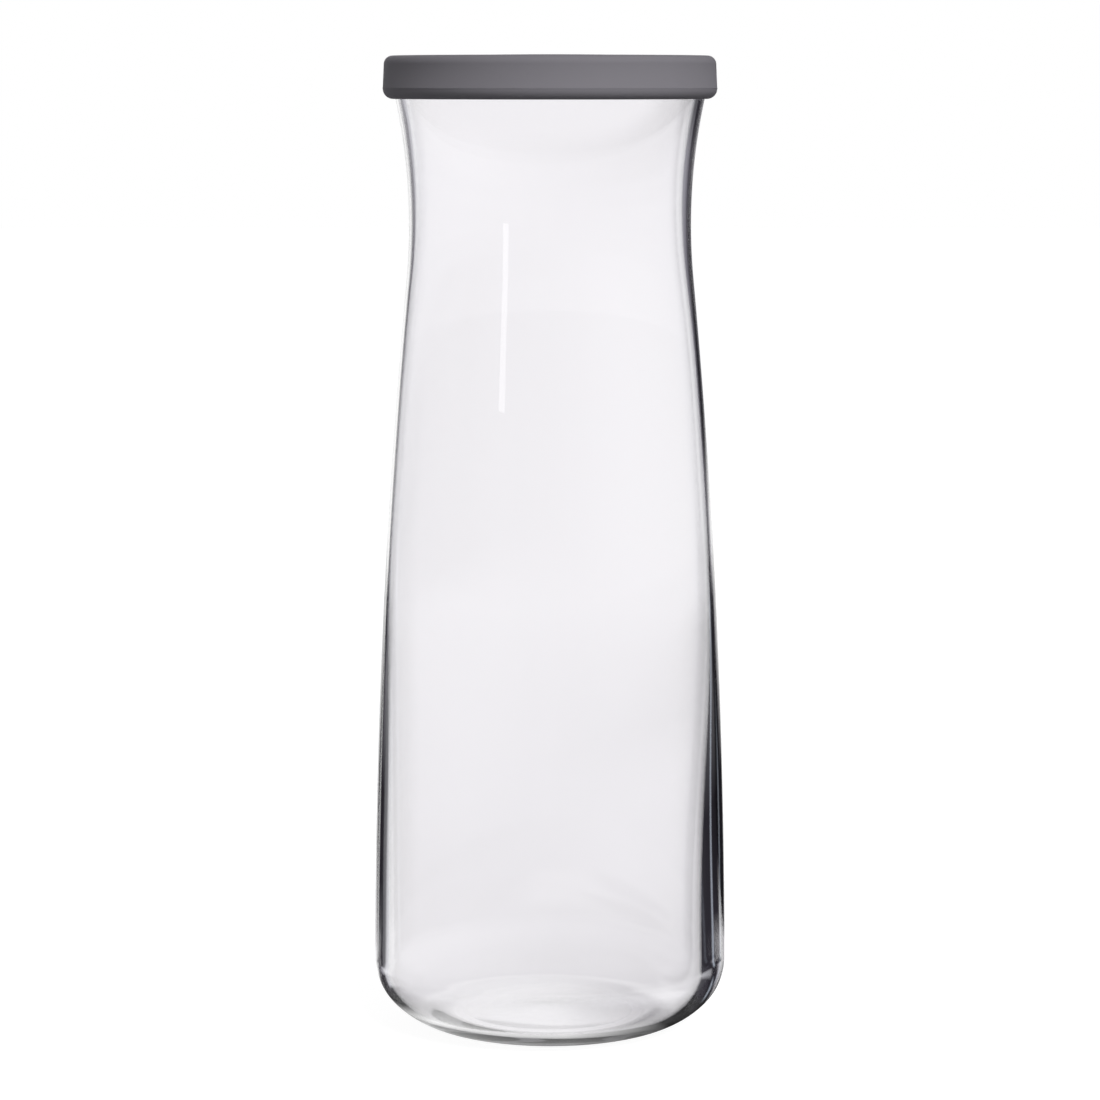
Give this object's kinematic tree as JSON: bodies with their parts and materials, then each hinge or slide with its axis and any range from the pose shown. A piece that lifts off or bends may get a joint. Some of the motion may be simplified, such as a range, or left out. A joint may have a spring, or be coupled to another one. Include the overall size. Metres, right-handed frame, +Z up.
{
  "type": "glass carafe with lid",
  "caption": "Clear glass water carafe with a heavy rounded base and a long taper to a waist, closed by a soft moulded lid that caps the rim and lifts off to pour.",
  "frame": {"origin": "centre of the foot, on the surface that the carafe stands on", "axes": "+Z up along the carafe's axis, towards the lid; the part is round about Z, so X and Y are free, with -Y taken as the front that the picture shows"},
  "size_m": [0.099, 0.099, 0.2721],
  "materials": {
    "clear_glass": "fire-polished clear blown glass",
    "grey_silicone": "satin matte moulded silicone"
  },
  "bodies": {
    "carafe": {"carafe_glass": "clear_glass"},
    "lid": {"lid": "grey_silicone"}
  },
  "joints": [
    {"name": "lid_lift", "type": "slide", "parent": "carafe", "child": "lid", "axis": [0, 0, 1], "range_m": [0, 0.1]}
  ]
}
